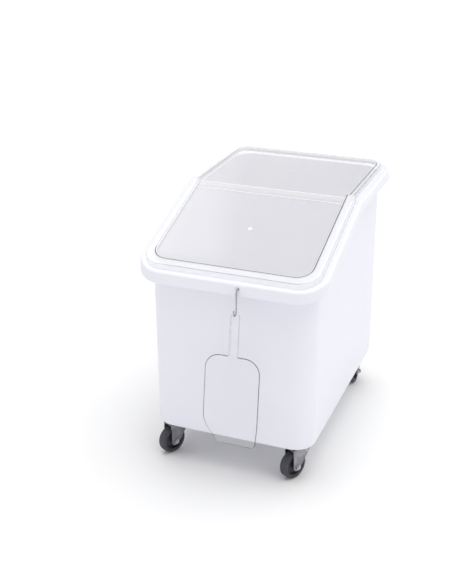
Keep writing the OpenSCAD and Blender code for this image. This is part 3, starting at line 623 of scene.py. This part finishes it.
def make_rear_lid():
    stations = tray(REAR_FRAME, REAR_PANEL, REAR_LOW, REAR_TOP, REAR_FLOOR)
    obj = make_lid("rear_lid_tray", stations, Matrix.Translation((0, REAR_Y, REAR_Z)), False)
    low_gate = [(r, LOW_GATE_SHARE*h if h > 0 else h) for r, h in GATE]
    spot = Matrix.Translation((0, REAR_GATE_Y, REAR_Z + REAR_FLOOR))
    cut(obj, lathe("gate", low_gate, spot), "UNION")
    ear = arc(0, 0, EAR_R, 90, 270, EAR_STEPS) + [(EAR_BACK, -EAR_R), (EAR_BACK, EAR_R)]
    for x in EAR_X:
        place = Matrix.Translation((x, RIDGE_Y, ROD_Z)) @ SIDEWAYS
        lobe = prism("ear", ear, EAR_T, place)
        cut(lobe, lathe("bore", EAR_BORE, place, BORE_STEPS))
        cut(obj, lobe, "UNION")
    finish_piece(obj, "rear_lid_body", "rear_lid")


def mouth_at(w):
    """How far down the bowl's mouth lies at a depth of w."""
    share = (w - BOWL_BRIM)/(BOWL_DEEP - SCOOP_T - BOWL_BRIM)
    return MOUTH_U + MOUTH_RUN*share**MOUTH_POWER


def make_bowl(place):
    turn = BOWL_DEEP - BOWL_FILLET
    stations = [(w, 0.0, mouth_at(w)) for w in BOWL_W]
    for k in range(FILLET_STEPS + 1):
        a = math.radians(90/FILLET_STEPS*k)
        lip = mouth_at(turn) + (LIP_U - mouth_at(turn))*math.sin(a)**LIP_POWER
        stations.append((turn + BOWL_FILLET*math.sin(a),
                         BOWL_FILLET - BOWL_FILLET*math.cos(a), lip))
    rings = []
    for w, d, mouth in stations:
        hw = BOWL_HW - BOWL_IN*w/BOWL_DEEP - d
        top = BOWL_U + BOWL_DOWN*w/BOWL_DEEP + d
        ring = tongue(hw, mouth - top, BOWL_R - d, BOWL_STEPS)
        rings.append([place @ Vector((x, w, -(mouth - v))) for x, v in ring])
    verts, faces = trough(rings)
    faces = [(a, d, c, b) for a, b, c, d in faces]
    bowl = solid("scoop_shell", verts, faces, SCOOP_LOOKS)
    # Thickening gives the rim faces the next look, the dark painted shade outline
    thicken(bowl, SCOOP_T)
    ease(bowl, SCOOP_EASE)
    return bowl


def make_grip(place):
    upright = place @ Matrix.Rotation(math.radians(-90), 4, "X")
    end = arc(0, GRIP_HW, GRIP_HW, 0, -180, GRIP_STEPS)[1:-1]
    grip = [(GRIP_HW, GRIP_L), (GRIP_HW, GRIP_HW), *end,
            (-GRIP_HW, GRIP_HW), (-GRIP_HW, GRIP_L)]
    handle = prism("grip", grip, GRIP_DEEP, upright)
    ease(handle, GRIP_EASE)
    channel = [(-CHANNEL_HW, CHANNEL_U0), (CHANNEL_HW, CHANNEL_U0),
               (CHANNEL_HW, CHANNEL_U1), (-CHANNEL_HW, CHANNEL_U1)]
    inside = upright @ Matrix.Translation((0, 0, SCOOP_T))
    cut(handle, prism("channel", channel, GRIP_DEEP, inside))
    cut(handle, lathe("hang", HANG_HOLE, upright @ Matrix.Translation((0, HANG_U, 0))))
    add_looks(handle, SCOOP_LOOKS)
    # Walls that face sideways get the grey painted shade
    for face in handle.data.polygons:
        if abs(face.normal.x) > WALL_FACING:
            face.material_index = WALL_SHADE_LOOK
    return handle


def make_scoop():
    place = (Matrix.Translation((HOOK_X, SCOOP_Y, SCOOP_Z)) @ Matrix.Rotation(SCOOP_LEAN, 4, "X")
             @ Matrix.Translation((0, -SCOOP_T/2, HANG_RISE)))
    bowl = make_bowl(place)
    cut(bowl, make_grip(place), "UNION")
    finish_piece(bowl, "scoop_body", "scoop")


make_tub()
make_front_lid()
make_rear_lid()
make_scoop()


def add_floor():
    # In metres, so wide that its end shows only in very low views
    half = 200.0
    mesh = bpy.data.meshes.new("floor")
    corners = [(-half, -half, 0), (half, -half, 0), (half, half, 0), (-half, half, 0)]
    mesh.from_pydata(corners, [], [(0, 1, 2, 3)])
    floor = link(bpy.data.objects.new("floor", mesh))
    mat, tree, bsdf, coord = new_material("floor_paper")
    cloud = noise(tree, coord, scale=1.2, detail=3)
    tone = ramp(tree, cloud, [(0.3, (0.91, 0.91, 0.91)), (0.7, (0.92, 0.92, 0.92))])
    tree.links.new(tone, bsdf.inputs["Base Color"])
    put(bsdf, {"Roughness": 0.9})
    mesh.materials.append(mat)


def add_light():
    """A white surround, a soft sun from above and a weak lamp on the right-hand side."""
    world = bpy.data.worlds.new("studio")
    world.use_nodes = True
    put(world.node_tree.nodes["Background"], {"Color": (1, 1, 1, 1), "Strength": 0.65})
    bpy.context.scene.world = world
    bpy.context.scene.view_settings.view_transform = "Standard"

    key = bpy.data.lights.new("key", "AREA")
    key.shape = "DISK"
    key.size = 2.4
    key.energy = 2.1
    lamp = link(bpy.data.objects.new("key", key))
    spot, target = Vector((3.4, 0.9, 1.9)), Vector((0, 0, 0.4))
    lamp.location = spot
    lamp.rotation_euler = (target - spot).to_track_quat("-Z", "Y").to_euler()

    top = bpy.data.lights.new("top", "SUN")
    top.energy = 1.78
    top.angle = math.radians(70)
    sun = link(bpy.data.objects.new("top", top))
    sun.rotation_euler = (math.radians(-6), math.radians(8), 0)


add_floor()
add_light()
